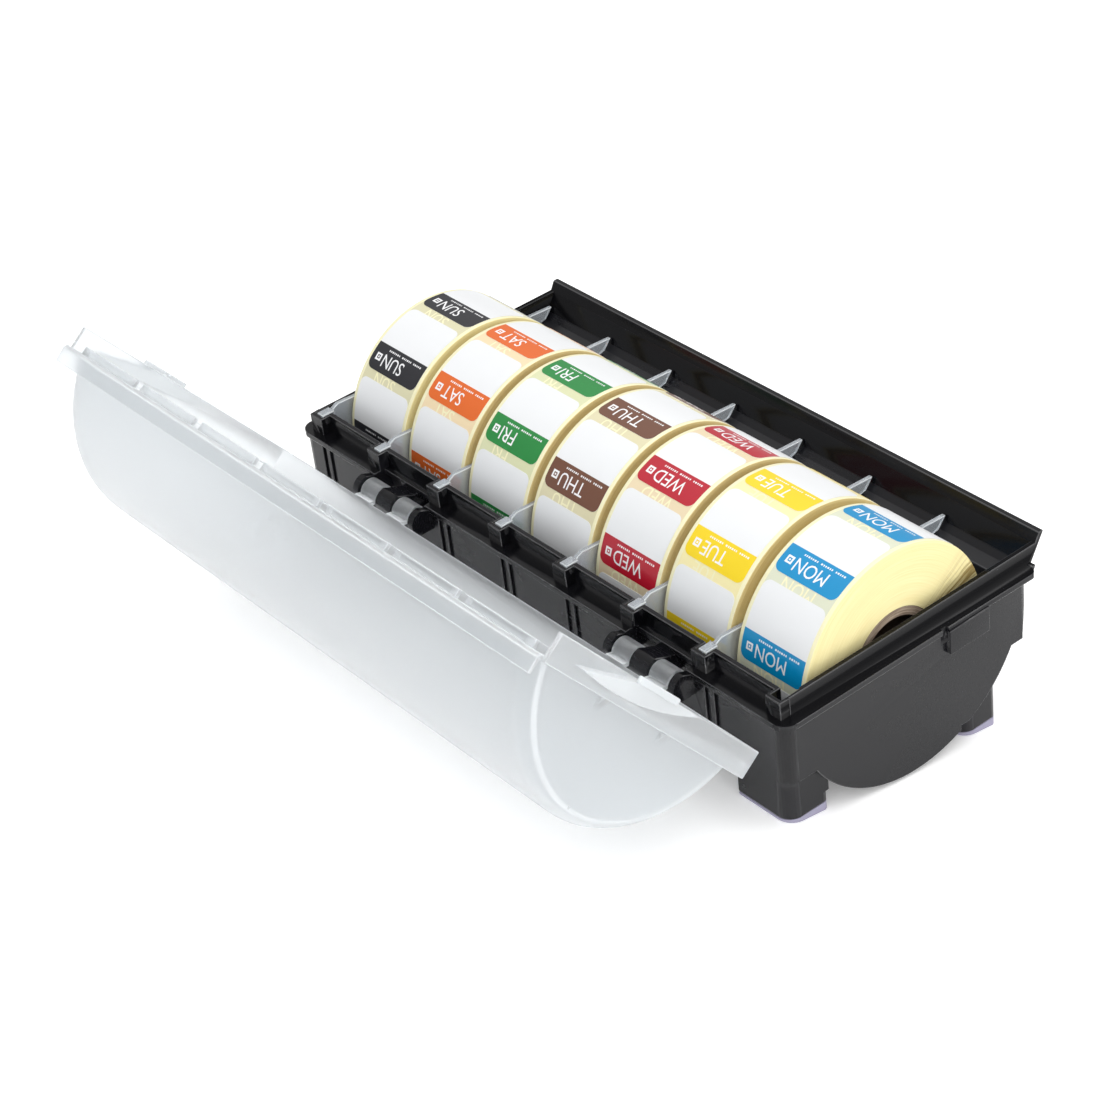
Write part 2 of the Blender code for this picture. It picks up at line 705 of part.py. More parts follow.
def main():
    for obj in list(bpy.data.objects):
        bpy.data.objects.remove(obj, do_unlink=True)

    black = material("tray_black", (0.012, 0.012, 0.014), 0.22)
    rubber = material("pad_rubber", (0.42, 0.41, 0.50), 0.75)
    clear = material("divider_clear", (0.86, 0.90, 0.93), 0.08, 0.35, 0.9)
    frosted = material("lid_frosted", (0.80, 0.84, 0.86), 0.38, 0.45, 0.7)
    card = material("core_card", (0.36, 0.30, 0.24), 0.85)
    day_colours = {
        "sun": (0.02, 0.02, 0.024),
        "sat": (0.68, 0.12, 0.02),
        "fri": (0.02, 0.22, 0.05),
        "thu": (0.16, 0.07, 0.035),
        "wed": (0.45, 0.01, 0.03),
        "tue": (0.78, 0.55, 0.01),
        "mon": (0.0, 0.27, 0.56),
    }
    webs = {day: material(f"label_{day}", day_colours[day], 0.5) for day in DAYS}

    stand = empty("stand")
    tray_frame = empty("tray_frame", stand)
    tray_frame.rotation_euler.x = -TILT
    tray_frame.location.z = REAR_HEIGHT
    lid_hinge = empty("lid_hinge", tray_frame)
    lid_hinge.location = tray_point(0.0, *HINGE)

    make_tray(tray_frame, black)
    make_pads(tray_frame, rubber)
    for index, x in enumerate(pocket_positions()[:-1], start=1):
        make_divider(index, x, tray_frame, clear)
    make_rolls(tray_frame, webs, card)
    make_lid(lid_hinge, frosted)
    lid_hinge.rotation_euler.x = -LID_OPEN

    centre_on_footprint(stand)
    bpy.context.view_layer.update()


main()
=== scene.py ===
"""The looks of the day label dispenser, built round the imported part.

Tray frame: x along the dispenser, v from the rear rail to the tear lip, w up from the rail's
top edge.  The lid frame is the tray frame as it lies when the lid is shut, turned with the lid
about the hinge.  Each roll has its own frame on its axis, with the tray's tilt.
"""
import json
import math

import bmesh
import bpy
from mathutils import Matrix, Vector


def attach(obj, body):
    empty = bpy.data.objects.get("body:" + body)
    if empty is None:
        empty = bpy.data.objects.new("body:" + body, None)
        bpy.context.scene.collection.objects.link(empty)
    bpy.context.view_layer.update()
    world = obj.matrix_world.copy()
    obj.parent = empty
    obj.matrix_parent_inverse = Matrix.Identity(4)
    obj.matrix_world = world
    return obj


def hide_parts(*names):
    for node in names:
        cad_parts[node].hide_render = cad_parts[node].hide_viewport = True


MM = 0.001
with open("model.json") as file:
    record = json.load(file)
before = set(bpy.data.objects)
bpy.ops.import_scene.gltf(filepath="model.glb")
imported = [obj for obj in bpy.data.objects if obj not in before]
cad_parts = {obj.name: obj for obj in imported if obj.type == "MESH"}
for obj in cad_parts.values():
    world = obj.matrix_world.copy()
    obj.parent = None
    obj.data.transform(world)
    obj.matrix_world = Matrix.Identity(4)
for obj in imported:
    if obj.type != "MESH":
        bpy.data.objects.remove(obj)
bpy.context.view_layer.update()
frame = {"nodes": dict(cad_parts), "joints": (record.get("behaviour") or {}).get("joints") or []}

# --- driving dimensions -------------------------------------------------------------------
JOINTS = {joint["name"]: joint for joint in frame["joints"]}
DAYS = ("sun", "sat", "fri", "thu", "wed", "tue", "mon")
TILT = math.radians(7.9)
LID_OPEN = math.radians(JOINTS["lid_hinge"]["range_deg"][1])
HINGE = (-5.4 * MM, -9.8 * MM)         # hinge axis (v, w) in the tray frame
PITCH = 31.5 * MM
RAIL_HALF = 3.6 * PITCH
LEDGE_HALF = RAIL_HALF + 4.2 * MM
LEDGE_SPAN = (-2.6 * MM, 100.2 * MM)
LEDGE_LEVELS = (-8.0 * MM, -6.0 * MM)
SKIRT_HALF = RAIL_HALF + 3.2 * MM
SKIRT_SPAN = (-1.8 * MM, 97.2 * MM)
SKIRT_FOOT = -28.0 * MM
SKIRT_CORNERS = (4.5 * MM, 3.0 * MM)   # rear and front radius
LEDGE_CORNERS = (5.0 * MM, 2.4 * MM)
CATCH_REAR = 62.8 * MM                 # hinge side of the snap catch
CATCH_GAP = 2.4 * MM
LEG_OUT = SKIRT_HALF - 3.6 * MM
LEG_BOTTOM = -62.0 * MM                # below the lowest sole
LEG_REAR = (0.6 * MM, 16.6 * MM)
LEG_FRONT = (71.6 * MM, 86.4 * MM)
LEG_BACK_RADIUS = 5.2 * MM
LEG_LIP_RADIUS = 2.6 * MM
REAR_LEG_FREE = -41.5 * MM             # where the end plate leaves the rear leg's inner corner
FRONT_LEG_FREE = (-46.2 * MM, -37.0 * MM)
TRAY_SOFT = 0.28 * MM                  # width of the softened edges
SOLE_SOFT = 0.35 * MM
DIVIDER_SOFT = 0.30 * MM
LID_SOFT = 0.32 * MM
LID_HALF = RAIL_HALF + 2.2 * MM
RIM_TOP = 3.2 * MM
LID_FRONT = 96.2 * MM
FRONT_EDGE = -0.9 * MM                # free edge of the lid's front rim wall
PANEL_END = 4.4 * MM                   # from a divider pocket to the sunk panel
PANEL_DEEP = 0.35 * MM
PANEL_LEVELS = (FRONT_EDGE + 0.7 * MM, 1.4 * MM)
GUSSETS = (36 * MM, 66 * MM)
GUSSET_WIDE = 3.6 * MM
GUSSET_TALL = 6.0 * MM
GUSSET_HALF = 1.4 * MM

WEB_R = 36.22 * MM                     # backing paper's outer turn
LABEL_R = 36.34 * MM
PRINT_R = 36.37 * MM
INK_R = 36.39 * MM
WEB_WIDTH = 28.4 * MM
CORE_R = 15.85 * MM
CORE_BORE = 12.7 * MM
LABEL_WIDTH = 25.4 * MM
HEADER = 9.5 * MM
LABEL_FOOT = 15.9 * MM
LABEL_CORNER = 2.6 * MM
LABELS_ROUND = 8
LABEL_STEP = 2 * math.pi / LABELS_ROUND
NAME_CAP = 4.5 * MM
NAME_RIGHT = 6.9 * MM
NAME_BASE = 3.0 * MM
NAME_SQUEEZE = 0.88                    # the day names are a little condensed
DASH_START = -10.4 * MM
DASH_LEVELS = (1.2 * MM, 1.8 * MM)
DASH_GAP = 0.36 * MM
DASH_WIDTHS = (0.62 * MM, 0.42 * MM, 0.42 * MM)
WORD_GAP = 0.9 * MM
ICON = (8.1 * MM, 10.7 * MM, 3.6 * MM, 6.2 * MM)
ICON_RIM = 0.62 * MM
ICON_INSET = 1.0 * MM
STREAK_TURN = 0.42                     # where the label gaps line up on the side of the web
GHOST_LAG = math.radians(10.5)         # how far the print of the turn below runs behind
PHASES = {"sun": 79.3, "sat": 77.0, "fri": 80.7, "thu": 85.5, "wed": 105.4, "tue": 79.5, "mon": 65.0}
BACKING_COLOUR = (0.80, 0.76, 0.50)
DAY_COLOURS = {
    "sun": (0.012, 0.012, 0.016),
    "sat": (0.66, 0.12, 0.012),
    "fri": (0.012, 0.21, 0.04),
    "thu": (0.14, 0.055, 0.030),
    "wed": (0.42, 0.006, 0.022),
    "tue": (0.80, 0.58, 0.008),
    "mon": (0.0, 0.24, 0.50),
}


def frame_matrix(origin, turn):
    return Matrix.Translation(origin) @ Matrix.Rotation(turn, 4, "X")


HINGE_POINT = Vector(JOINTS["lid_hinge"]["pos_m"])
HINGE_OFFSET = Matrix.Rotation(-TILT, 4, "X") @ Vector((0.0, -HINGE[0], HINGE[1]))
TRAY_FRAME = frame_matrix(HINGE_POINT - HINGE_OFFSET, -TILT)
LID_FRAME = frame_matrix(HINGE_POINT, -TILT - LID_OPEN) @ Matrix.Translation((0.0, HINGE[0], -HINGE[1]))


# --- node materials -------------------------------------------------------------------------
def start_material(name, colour):
    mat = bpy.data.materials.new(name)
    mat.use_nodes = True
    mat.diffuse_color = (*colour, 1.0)
    tree = mat.node_tree
    return mat, tree, tree.nodes["Principled BSDF"]


def feed(tree, socket, value):
    """Set a plain value, or link a socket."""
    if isinstance(value, bpy.types.NodeSocket):
        tree.links.new(value, socket)
    elif isinstance(value, (tuple, list)) and len(value) == 3 and len(socket.default_value) == 4:
        socket.default_value = (*value, 1.0)
    else:
        socket.default_value = value


def add_node(tree, kind, inputs=None, **settings):
    node = tree.nodes.new(kind)
    for key, value in settings.items():
        setattr(node, key, value)
    for key, value in (inputs or {}).items():
        feed(tree, node.inputs[key], value)
    return node


def object_place(tree):
    return add_node(tree, "ShaderNodeTexCoord").outputs["Object"]


def stretched(tree, place, scale):
    return add_node(tree, "ShaderNodeMapping", {"Vector": place, "Scale": scale}).outputs[0]


def noise(tree, place, scale, detail=3.0, roughness=0.55):
    node = add_node(tree, "ShaderNodeTexNoise",
                    {"Vector": place, "Scale": scale, "Detail": detail, "Roughness": roughness})
    return node.outputs["Fac"]


def math_of(tree, operation, a, b=0.0):
    return add_node(tree, "ShaderNodeMath", {0: a, 1: b}, operation=operation).outputs[0]


def ranged(tree, value, low, high, to_low=0.0, to_high=1.0):
    """Map low..high to to_low..to_high, clamped."""
    node = add_node(tree, "ShaderNodeMapRange", {"Value": value, "From Min": low, "From Max": high,
                                                 "To Min": to_low, "To Max": to_high})
    return node.outputs["Result"]


def mixed(tree, share, a, b):
    node = add_node(tree, "ShaderNodeMix", data_type="RGBA")
    feed(tree, node.inputs[0], share)
    feed(tree, node.inputs[6], a)
    feed(tree, node.inputs[7], b)
    return node.outputs[2]


def bumped(tree, height, distance, strength=1.0):
    node = add_node(tree, "ShaderNodeBump", {"Height": height, "Distance": distance, "Strength": strength})
    return node.outputs[0]


def black_plastic(name, base, lift, shine):
    """Injection-moulded plastic: faint orange peel, and scuffs that show in the gloss."""
    mat, tree, shader = start_material(name, base)
    place = object_place(tree)
    cloud = noise(tree, place, 22.0, 4.0)
    scuff = ranged(tree, noise(tree, stretched(tree, place, (1.0, 7.0, 3.0)), 260.0, 5.0, 0.7), 0.55, 0.75)
    dark = tuple(c * 0.75 for c in base)
    feed(tree, shader.inputs["Base Color"], mixed(tree, cloud, dark, base))
    gloss = ranged(tree, cloud, 0.3, 0.7, 0.19 + lift, 0.27 + lift)
    scuffed = math_of(tree, "MULTIPLY", scuff, 0.10)
    feed(tree, shader.inputs["Roughness"], math_of(tree, "ADD", gloss, scuffed))
    peel = noise(tree, place, 700.0, 2.0)
    feed(tree, shader.inputs["Normal"], bumped(tree, peel, 0.02 * MM, 0.35))
    shader.inputs["IOR"].default_value = 1.53
    shader.inputs["Specular IOR Level"].default_value = shine
    return mat


def frosted_plastic(name, base, glow, see_through, translucent, rough):
    """Milky polypropylene: scatters most light, and lets a blurred share through."""
    mat, tree, shader = start_material(name, base)
    place = object_place(tree)
    flow = noise(tree, stretched(tree, place, (0.5, 1.0, 1.0)), 26.0, 4.0)
    grain = noise(tree, place, 1500.0, 2.0)
    feed(tree, shader.inputs["Base Color"], mixed(tree, flow, tuple(c * 0.97 for c in base), base))
    feed(tree, shader.inputs["Roughness"], ranged(tree, flow, 0.3, 0.7, rough - 0.04, rough + 0.05))
    feed(tree, shader.inputs["Normal"], bumped(tree, grain, 0.02 * MM, 0.5))
    shader.inputs["Transmission Weight"].default_value = see_through
    shader.inputs["IOR"].default_value = 1.49
    glowing = add_node(tree, "ShaderNodeBsdfTranslucent", {"Color": glow})
    blend = add_node(tree, "ShaderNodeMixShader", {0: translucent})
    tree.links.new(shader.outputs[0], blend.inputs[1])
    tree.links.new(glowing.outputs[0], blend.inputs[2])
    tree.links.new(blend.outputs[0], tree.nodes["Material Output"].inputs["Surface"])
    return mat


def clear_plastic(name, base, see_through, rough):
    mat, tree, shader = start_material(name, base)
    place = object_place(tree)
    haze = noise(tree, place, 90.0, 3.0)
    feed(tree, shader.inputs["Base Color"], mixed(tree, haze, tuple(c * 0.97 for c in base), base))
    feed(tree, shader.inputs["Roughness"], ranged(tree, haze, 0.35, 0.7, rough, rough + 0.08))
    feed(tree, shader.inputs["Normal"], bumped(tree, noise(tree, place, 400.0), 0.02 * MM, 0.4))
    shader.inputs["Transmission Weight"].default_value = see_through
    shader.inputs["IOR"].default_value = 1.5
    return mat


def rubber(name, base):
    mat, tree, shader = start_material(name, base)
    place = object_place(tree)
    patch = noise(tree, place, 60.0, 4.0)
    feed(tree, shader.inputs["Base Color"], mixed(tree, patch, tuple(c * 0.85 for c in base), base))
    feed(tree, shader.inputs["Roughness"], ranged(tree, patch, 0.3, 0.7, 0.55, 0.72))
    feed(tree, shader.inputs["Normal"], bumped(tree, noise(tree, place, 1100.0), 0.05 * MM, 0.6))
    return mat


def printed_paper(name, base, gloss):
    """Coated label stock: smooth, with a faint fibre grain."""
    mat, tree, shader = start_material(name, base)
    place = object_place(tree)
    fibre = noise(tree, stretched(tree, place, (1.0, 2.5, 2.5)), 420.0, 5.0, 0.65)
    tone = noise(tree, place, 45.0, 2.0)
    feed(tree, shader.inputs["Base Color"], mixed(tree, tone, tuple(c * 0.95 for c in base), base))
    feed(tree, shader.inputs["Roughness"], ranged(tree, fibre, 0.3, 0.7, gloss, gloss + 0.08))
    feed(tree, shader.inputs["Normal"], bumped(tree, fibre, 0.015 * MM, 0.35))
    return mat


def joined(tree, x, y):
    return add_node(tree, "ShaderNodeCombineXYZ", {0: x, 1: y}).outputs[0]


def polar(tree, place):
    """Distance from the roll's axis in millimetres, and the angle round it in turns."""
    parts = add_node(tree, "ShaderNodeSeparateXYZ", {0: place})
    y, z = parts.outputs["Y"], parts.outputs["Z"]
    square = math_of(tree, "ADD", math_of(tree, "MULTIPLY", y, y), math_of(tree, "MULTIPLY", z, z))
    radius = math_of(tree, "DIVIDE", math_of(tree, "SQRT", square), MM)
    turn = math_of(tree, "DIVIDE", math_of(tree, "ARCTAN2", z, y), 2 * math.pi)
    return radius, turn


def wound_paper(name, pale, deep, streak):
    """The side of the wound web: fine turns, and streaks where the label gaps line up."""
    mat, tree, shader = start_material(name, pale)
    place = object_place(tree)
    radius, turn = polar(tree, place)
    rings = noise(tree, joined(tree, radius, math_of(tree, "MULTIPLY", turn, 1.5)), 3.6, 4.0, 0.75)
    across = math_of(tree, "MULTIPLY", turn, 130.0)
    fan_place = joined(tree, across, math_of(tree, "MULTIPLY", radius, 0.04))
    fans = ranged(tree, noise(tree, fan_place, 1.0, 4.0, 0.6), 0.44, 0.60)
    away = math_of(tree, "ABSOLUTE", math_of(tree, "SUBTRACT", turn, STREAK_TURN))
    sector = ranged(tree, away, 0.01, 0.055, 1.0, 0.0)
    streaks = math_of(tree, "MULTIPLY", fans, sector)
    base = mixed(tree, ranged(tree, rings, 0.35, 0.7), pale, deep)
    base = mixed(tree, math_of(tree, "MULTIPLY", streaks, 0.95), base, streak)
    feed(tree, shader.inputs["Base Color"], base)
    feed(tree, shader.inputs["Roughness"], ranged(tree, rings, 0.3, 0.7, 0.55, 0.75))
    feed(tree, shader.inputs["Normal"], bumped(tree, rings, 0.08 * MM, 0.8))
    return mat


def card(name, pale, dark):
    """Spiral-wound card tube: a few plies with dark glue lines between them."""
    mat, tree, shader = start_material(name, pale)
    place = object_place(tree)
    radius, turn = polar(tree, place)
    plies = noise(tree, joined(tree, radius, math_of(tree, "MULTIPLY", turn, 3.0)), 2.2, 3.0, 0.7)
    grit = noise(tree, place, 900.0, 4.0, 0.7)
    base = mixed(tree, ranged(tree, plies, 0.4, 0.62), dark, pale)
    edges = math_of(tree, "MINIMUM", ranged(tree, radius, CORE_R / MM - 0.35, CORE_R / MM - 0.1, 1.0, 0.0),
                    ranged(tree, radius, CORE_BORE / MM + 0.1, CORE_BORE / MM + 0.35))
    base = mixed(tree, ranged(tree, edges, 0.0, 1.0, 0.25, 1.0), tuple(c * 0.5 for c in dark), base)
    feed(tree, shader.inputs["Base Color"], mixed(tree, ranged(tree, grit, 0.3, 0.7, 0.0, 0.3), base, dark))
    feed(tree, shader.inputs["Roughness"], ranged(tree, grit, 0.3, 0.7, 0.8, 0.95))
    feed(tree, shader.inputs["Normal"], bumped(tree, grit, 0.1 * MM, 0.6))
    return mat


# --- mesh tools -----------------------------------------------------------------------------
def arc(cx, cy, radius, start, end, steps):
    points = []
    for i in range(steps + 1):
        a = math.radians(start + (end - start) * i / steps)
        points.append((cx + radius * math.cos(a), cy + radius * math.sin(a)))
    return points


def add_prism(bm, outline, low, high, place):
    """Extrude a closed outline (p, q) from low to high; place(p, q, t) gives the point."""
    bottom = [bm.verts.new(place(p, q, low)) for p, q in outline]
    top = [bm.verts.new(place(p, q, high)) for p, q in outline]
    bm.faces.new(bottom)
    bm.faces.new(top[::-1])
    for i in range(len(outline)):
        j = (i + 1) % len(outline)
        bm.faces.new((bottom[j], bottom[i], top[i], top[j]))


def along_x(v, w, x):
    """Place for an outline drawn as (v, w) and extruded along x."""
    return Vector((x, -v, w))


def along_v(x, w, v):
    return Vector((x, -v, w))


def along_w(x, v, w):
    return Vector((x, -v, w))


def add_box(bm, x0, x1, v0, v1, w0, w1):
    add_prism(bm, [(v0, w0), (v1, w0), (v1, w1), (v0, w1)], x0, x1, along_x)


def object_of(name, bm, materials, place=Matrix.Identity(4), origin=(0.0, 0.0, 0.0)):
    """Turn a bmesh, drawn in the frame place, into an object with its origin at that point."""
    bmesh.ops.transform(bm, matrix=Matrix.Translation(-Vector(origin)) @ place, verts=bm.verts)
    bmesh.ops.recalc_face_normals(bm, faces=bm.faces)
    mesh = bpy.data.meshes.new(name)
    bm.to_mesh(mesh)
    bm.free()
    for mat in materials:
        mesh.materials.append(mat)
    obj = bpy.data.objects.new(name, mesh)
    bpy.context.scene.collection.objects.link(obj)
    obj.matrix_world = Matrix.Translation(origin)
    return obj


def shade(obj, angle=30):
    obj.data.shade_smooth()
    obj.data.set_sharp_from_angle(angle=math.radians(angle))


def cad_mesh(node, place):
    """The CAD node's solid as a bmesh in another frame, with its triangles merged into faces."""
    bm = bmesh.new()
    bm.from_mesh(frame["nodes"][node].data)
    bmesh.ops.transform(bm, matrix=place.inverted(), verts=bm.verts)
    bmesh.ops.remove_doubles(bm, verts=bm.verts, dist=0.002 * MM)
    bmesh.ops.dissolve_limit(bm, angle_limit=math.radians(0.5), verts=bm.verts, edges=bm.edges)
    return bm


def cut_or_join(bm, build, operation):
    """Boolean between a bmesh and what a build function adds to a new one."""
    tool = bmesh.new()
    build(tool)
    body = object_of("work_body", bm, ())
    other = object_of("work_tool", tool, ())
    mod = body.modifiers.new("boolean", "BOOLEAN")
    mod.operation = operation
    mod.solver = "EXACT"
    mod.use_self = operation == "UNION"
    mod.object = other
    depsgraph = bpy.context.evaluated_depsgraph_get()
    mesh = bpy.data.meshes.new_from_object(body.evaluated_get(depsgraph))
    result = bmesh.new()
    result.from_mesh(mesh)
    bpy.data.meshes.remove(mesh)
    for used in (body, other):
        used_mesh = used.data
        bpy.data.objects.remove(used)
        bpy.data.meshes.remove(used_mesh)
    return result


def soften(bm, width, shortest, angle=32.0, sharp=lambda point: False):
    """Round the outer edges, apart from those in a sharp zone; the new faces take material 1."""
    bmesh.ops.remove_doubles(bm, verts=bm.verts, dist=0.002 * MM)
    bmesh.ops.dissolve_limit(bm, angle_limit=math.radians(0.5), verts=bm.verts, edges=bm.edges)
    edges = [edge for edge in bm.edges
             if edge.is_manifold and edge.is_convex and edge.calc_length() > shortest
             and edge.calc_face_angle() > math.radians(angle)
             and not sharp((edge.verts[0].co + edge.verts[1].co) / 2)]
    bmesh.ops.bevel(bm, geom=edges, offset=width, offset_type="OFFSET", segments=2, profile=0.5,
                    affect="EDGES", clamp_overlap=False, material=1)


def smooth_by_area(obj):
    """Keep the flat faces flat, and turn the light round the bevels."""
    obj.data.shade_smooth()
    obj.data.set_sharp_from_angle(angle=math.radians(50))
    mod = obj.modifiers.new("area normals", "WEIGHTED_NORMAL")
    mod.keep_sharp = True


# --- tray -----------------------------------------------------------------------------------
def add_corner(bm, x, v, sx, sv, radius, low, high):
    """What a rounded corner leaves over of a square one; sx and sv point out of the part."""
    cx, cv = x - sx * radius, v - sv * radius
    far = 4 * MM
    outline = []
    for i in range(9):
        a = math.radians(90 * i / 8)
        outline.append((cx + sx * radius * math.cos(a), cv + sv * radius * math.sin(a)))
    outline += [(cx, v + sv * far), (x + sx * far, v + sv * far), (x + sx * far, cv)]
    add_prism(bm, outline, low, high, along_w)


def build_skirt_corners(bm):
    """Round the skirt's upright corners, from below its free edge up to the ledge."""
    low, high = SKIRT_FOOT - 1 * MM, LEDGE_LEVELS[0]
    for sx in (-1, 1):
        for sv, v, radius in zip((-1, 1), SKIRT_SPAN, SKIRT_CORNERS):
            add_corner(bm, sx * SKIRT_HALF, v, sx, sv, radius, low, high)


def build_leg_corners(bm):
    """Round each leg's outer corners where they stand clear of the skirt and the end plate."""
    corners = (
        (LEG_REAR[0], -1, LEG_BACK_RADIUS, SKIRT_FOOT),
        (LEG_REAR[1], 1, LEG_LIP_RADIUS, REAR_LEG_FREE),
        (LEG_FRONT[0], -1, LEG_BACK_RADIUS, FRONT_LEG_FREE[0]),
        (LEG_FRONT[1], 1, LEG_LIP_RADIUS, FRONT_LEG_FREE[1]),
    )
    for sx in (-1, 1):
        for v, sv, radius, top in corners:
            add_corner(bm, sx * LEG_OUT, v, sx, sv, radius, LEG_BOTTOM, top)


def build_ledge_corners(bm):
    low, high = LEDGE_LEVELS[0] - 0.02 * MM, LEDGE_LEVELS[1] + 0.4 * MM
    for sx in (-1, 1):
        for sv, v, radius in zip((-1, 1), LEDGE_SPAN, LEDGE_CORNERS):
            add_corner(bm, sx * LEDGE_HALF, v, sx, sv, radius, low, high)


def build_catch_gaps(bm):
    """A short gap in the ledge on the hinge side of each snap catch."""
    for sx in (-1, 1):
        x0, x1 = sorted((sx * (SKIRT_HALF - 0.05 * MM), sx * (LEDGE_HALF + 2 * MM)))
        add_box(bm, x0, x1, CATCH_REAR - CATCH_GAP, CATCH_REAR, -12 * MM, -5 * MM)


def in_catch_gap(point):
    """True for the edges round a catch gap, which are too close together to soften."""
    out = abs(point.x) > SKIRT_HALF - 1 * MM
    along = CATCH_REAR - CATCH_GAP - 1 * MM < -point.y < CATCH_REAR + 0.8 * MM
    return out and along and -13 * MM < point.z < -4 * MM


def make_tray(materials):
    bm = cad_mesh("tray", TRAY_FRAME)
    for build in (build_skirt_corners, build_leg_corners, build_ledge_corners, build_catch_gaps):
        bm = cut_or_join(bm, build, "DIFFERENCE")
    soften(bm, TRAY_SOFT, 1.2 * MM, sharp=in_catch_gap)
    # The rails above the ledge are polished, and the skirts below it are satin.
    for face in bm.faces:
        if face.material_index == 0 and face.calc_center_median().z > LEDGE_LEVELS[1] - 0.1 * MM:
            face.material_index = 2
    tray = object_of("tray_shell", bm, materials, TRAY_FRAME)
    smooth_by_area(tray)
    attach(tray, "tray")
    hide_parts("tray")


def make_soles(mat):
    for row in ("rear", "front"):
        for side in ("left", "right"):
            node = f"foot_pad_{row}_{side}"
            bm = cad_mesh(node, TRAY_FRAME)
            bm = cut_or_join(bm, build_leg_corners, "DIFFERENCE")
            soften(bm, SOLE_SOFT, 0.6 * MM)
            sole = object_of(f"sole_{row}_{side}", bm, (mat, mat), TRAY_FRAME)
            smooth_by_area(sole)
            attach(sole, "tray")
            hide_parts(node)


# --- dividers -------------------------------------------------------------------------------
def make_dividers(materials):
    for index in range(1, 8):
        node = f"divider_{index}"
        bm = cad_mesh(node, TRAY_FRAME)
        soften(bm, DIVIDER_SOFT, 0.8 * MM, angle=40.0)
        blade = object_of(f"divider_blade_{index}", bm, materials, TRAY_FRAME)
        smooth_by_area(blade)
        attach(blade, "tray")
        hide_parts(node)


# --- lid ------------------------------------------------------------------------------------
def pocket_positions():
    return [(3.5 - i) * PITCH for i in range(8)]


def build_panel_insets(bm):
    """A shallow sunk panel in the front rim wall between each pair of notches."""
    places = pocket_positions()
    for left, right in zip(places, places[1:]):
        add_box(bm, right + PANEL_END, left - PANEL_END, LID_FRONT - PANEL_DEEP, LID_FRONT + 0.5 * MM,
                *PANEL_LEVELS)


def build_gussets(bm):
    """Two small ribs between the rim's step and each end wall of the barrel."""
    for sx in (-1, 1):
        for v in GUSSETS:
            x = sx * LID_HALF
            root = RIM_TOP - 0.6 * MM
            inner = x - sx * GUSSET_WIDE
            outline = [(x - sx * 0.2 * MM, root), (inner, root), (inner, RIM_TOP + GUSSET_TALL)]
            add_prism(bm, outline, v - GUSSET_HALF, v + GUSSET_HALF, along_v)


def mark_pads_and_corner_highlight(bm):
    """The finger pads take the whiter edge finish, and the corner between barrel and end wall takes it as a
    painted highlight; the ribs keep the main finish.
    """
    for face in bm.faces:
        centre = face.calc_center_median()
        reach = abs(centre.x) - LID_HALF
        on_pad = reach > 0.3 * MM
        on_corner = reach > -6 * MM and 0.91 < abs(face.normal.x) < 0.975 and face.calc_area() > 1e-6
        near_rib = any(abs(centre.y + v) < GUSSET_HALF + 1.0 * MM for v in GUSSETS)
        on_rib = near_rib and -4.5 * MM < reach < 0.0 and RIM_TOP < centre.z < RIM_TOP + 7 * MM
        if on_pad or on_corner:
            face.material_index = 1
        elif on_rib:
            face.material_index = 0


def make_lid(materials):
    bm = cad_mesh("lid", LID_FRAME)
    bm = cut_or_join(bm, build_gussets, "UNION")
    soften(bm, LID_SOFT, 1.2 * MM)
    bm = cut_or_join(bm, build_panel_insets, "DIFFERENCE")
    mark_pads_and_corner_highlight(bm)
    lid = object_of("lid_shell", bm, materials, LID_FRAME)
    smooth_by_area(lid)
    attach(lid, "lid")
    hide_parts("lid")


# --- rolls ----------------------------------------------------------------------------------
def add_lathe(bm, profile, steps, slot_of=lambda i: 0):
    """Turn a closed (x, radius) outline round the x axis."""
    rings = []
    for x, radius in profile:
        ring = []
        for i in range(steps):
            a = 2 * math.pi * i / steps
            ring.append(bm.verts.new((x, radius * math.cos(a), radius * math.sin(a))))
        rings.append(ring)
    for index, (a, b) in enumerate(zip(rings, rings[1:] + rings[:1])):
        for i in range(steps):
            j = (i + 1) % steps
            face = bm.faces.new((a[i], a[j], b[j], b[i]))
            face.material_index = slot_of(index)


def web_profile(day_index):
    """Outline of the wound web: the turns don't lie quite flush at the sides."""
    half = 0.5 * WEB_WIDTH
    rings = 15
    side = []
    for i in range(rings):
        share = i / (rings - 1)
        radius = CORE_R + (WEB_R - 0.25 * MM - CORE_R) * share
        step = 0.10 * MM * math.sin(7.3 * i + 1.7 * day_index) * math.sin(math.pi * share)
        side.append((half - 0.14 * MM + step, radius))
    edge = arc(half - 0.25 * MM, WEB_R - 0.25 * MM, 0.25 * MM, 0, 90, 3)
    right = side[:-1] + edge
    left = [(-x, radius) for x, radius in right]
    return right + left[::-1], len(right)


def make_web(day, index, place, origin, side_mat, outer_mat):
    profile, count = web_profile(index)
    bm = bmesh.new()
    add_lathe(bm, profile, 120, lambda i: 1 if i in (count - 2, count - 1, count) else 0)
    web = object_of(f"roll_web_{day}", bm, (side_mat, outer_mat), place, origin)
    shade(web, 40)
    return web


def make_core(day, place, origin, mat):
    half = 0.5 * WEB_WIDTH - 0.25 * MM
    bevel = 0.2 * MM
    profile = [(-half, CORE_BORE + bevel), (-half, CORE_R - bevel), (-half + bevel, CORE_R),
               (half - bevel, CORE_R), (half, CORE_R - bevel), (half, CORE_BORE + bevel),
               (half - bevel, CORE_BORE), (-half + bevel, CORE_BORE)]
    bm = bmesh.new()
    add_lathe(bm, profile, 72)
    core = object_of(f"roll_tube_{day}", bm, (mat,), place, origin)
    shade(core, 40)
    return core


def flat_shape(outlines, slot):
    """Filled outlines in the label's plane: x to the right, y up the label."""
    bm = bmesh.new()
    for outline in outlines:
        bm.faces.new([bm.verts.new((x, y, 0.0)) for x, y in outline]).material_index = slot
    return bm


